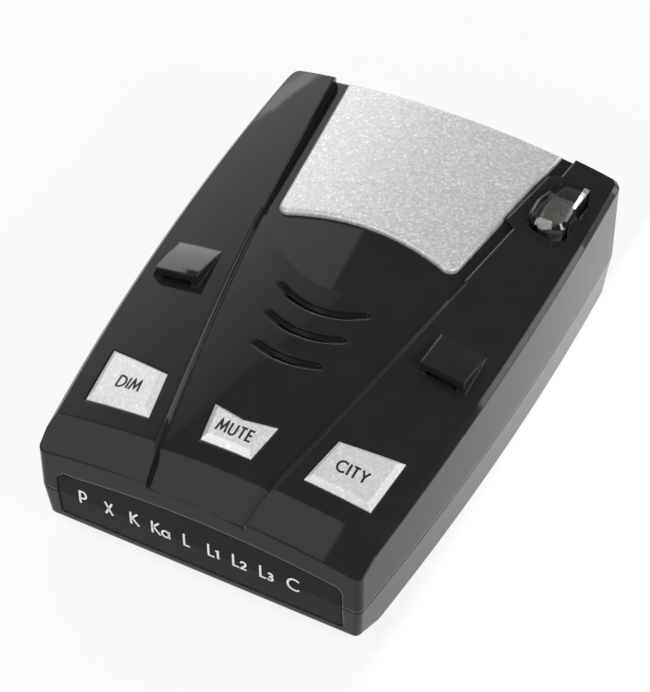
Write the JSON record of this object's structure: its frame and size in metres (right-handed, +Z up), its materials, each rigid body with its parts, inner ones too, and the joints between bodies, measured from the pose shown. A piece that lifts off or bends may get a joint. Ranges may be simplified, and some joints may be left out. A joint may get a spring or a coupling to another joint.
{
  "type": "radar detector",
  "caption": "Low wedge-shaped dashboard radar and laser detector with a front band display, push keys, a rear silver plate, bracket lugs and a clear laser lens.",
  "frame": {"origin": "centre of the case's plan on its flat underside", "axes": "+Z up out of the deck, -Y towards the driver and the display, +Y towards the road, +X to the driver's right"},
  "size_m": [0.0738, 0.105, 0.0346],
  "materials": {
    "case_plastic": "glossy black",
    "smoked_window": "glossy smoked panel",
    "silver_paint": "metallic silver paint with a fine sparkle",
    "label_film": "satin silver film",
    "board_laminate": "green laminate",
    "black_plastic": "matte black",
    "grey_plastic": "matte grey",
    "lamp_resin": "translucent resin",
    "cast_metal": "as cast",
    "tinned_steel": "bright tinned",
    "capacitor_sleeve": "printed sleeve",
    "speaker_steel": "black painted",
    "speaker_paper": "black paper",
    "magnet_ferrite": "ground ferrite",
    "felt": "black felt",
    "clear_lens": "clear moulded plastic",
    "diode_resin": "dark resin",
    "screw_steel": "zinc plated"
  },
  "bodies": {
    "housing": {"badge_plate": "silver_paint", "capacitors": "capacitor_sleeve", "case_screws": "screw_steel", "city_switch": "black_plastic", "crystal": "tinned_steel", "dim_switch": "black_plastic", "display_window": "smoked_window", "dust_felt": "felt", "horn_antenna": "cast_metal", "indicator_lamps": "lamp_resin", "laser_lens": "clear_lens", "laser_sensor": "diode_resin", "light_baffle": "black_plastic", "lower_housing": "case_plastic", "main_board": "board_laminate", "microcontroller": "black_plastic", "mixer_board": "board_laminate", "mute_switch": "black_plastic", "power_socket": "black_plastic", "rating_label": "label_film", "sensor_board": "board_laminate", "shield_can": "tinned_steel", "speaker_cone": "speaker_paper", "speaker_frame": "speaker_steel", "speaker_magnet": "magnet_ferrite", "upper_housing": "case_plastic", "voltage_regulator": "black_plastic", "volume_control": "black_plastic"},
    "dim_key": {"dim_button": "silver_paint", "dim_actuator": "grey_plastic"},
    "mute_key": {"mute_button": "silver_paint", "mute_actuator": "grey_plastic"},
    "city_key": {"city_button": "silver_paint", "city_actuator": "grey_plastic"},
    "volume_dial": {"volume_wheel": "black_plastic", "volume_shaft": "grey_plastic"}
  },
  "joints": [
    {"name": "dim_press", "type": "slide", "parent": "housing", "child": "dim_key", "axis": [0, 0, -1], "range_m": [0, 0.0005], "stiffness_N_per_m": 2000, "springref_m": -0.0004},
    {"name": "mute_press", "type": "slide", "parent": "housing", "child": "mute_key", "axis": [0, 0, -1], "range_m": [0, 0.0005], "stiffness_N_per_m": 2000, "springref_m": -0.0004},
    {"name": "city_press", "type": "slide", "parent": "housing", "child": "city_key", "axis": [0, 0, -1], "range_m": [0, 0.0005], "stiffness_N_per_m": 2000, "springref_m": -0.0004},
    {"name": "volume_turn", "type": "hinge", "parent": "housing", "child": "volume_dial", "pos_m": [-0.02996, -0.012, 0.0144], "axis": [0, 0, 1], "range_deg": [0, 300]}
  ]
}
